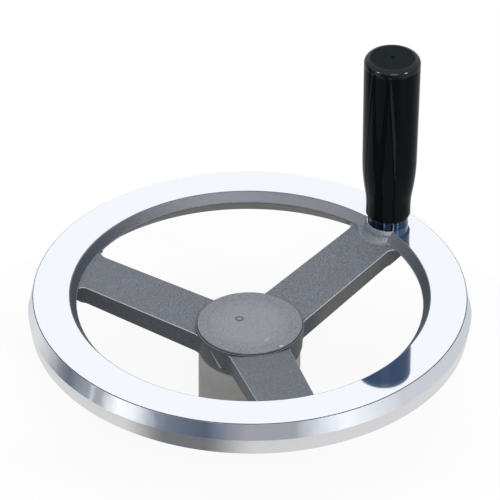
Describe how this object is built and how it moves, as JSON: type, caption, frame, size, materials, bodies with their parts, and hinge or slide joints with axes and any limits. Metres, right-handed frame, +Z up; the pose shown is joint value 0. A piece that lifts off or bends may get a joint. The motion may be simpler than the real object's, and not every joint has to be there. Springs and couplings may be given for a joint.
{
  "type": "machine handwheel",
  "caption": "Dished spoked aluminium handwheel with a polished rim, a closed hub and a revolving black grip.",
  "frame": {"origin": "centre of the hub's lower mounting face", "axes": "+Z up along the wheel's axis towards the operator, +X along the spoke that carries the grip"},
  "size_m": [0.2, 0.2, 0.1509],
  "materials": {
    "cast_aluminium": "matte as cast, with the rim turned and polished",
    "plated_steel": "turned steel with a bright plating",
    "spring_steel": "drawn spring wire",
    "phenolic": "glossy black moulding"
  },
  "bodies": {
    "wheel": {"wheel_casting": "cast_aluminium", "handle_spindle": "plated_steel", "retaining_ring": "spring_steel"},
    "revolving_grip": {"grip": "phenolic"}
  },
  "joints": [
    {"name": "grip_spin", "type": "hinge", "parent": "wheel", "child": "revolving_grip", "pos_m": [0.086, 0, 0.0662], "axis": [0, 0, 1], "continuous": true}
  ]
}
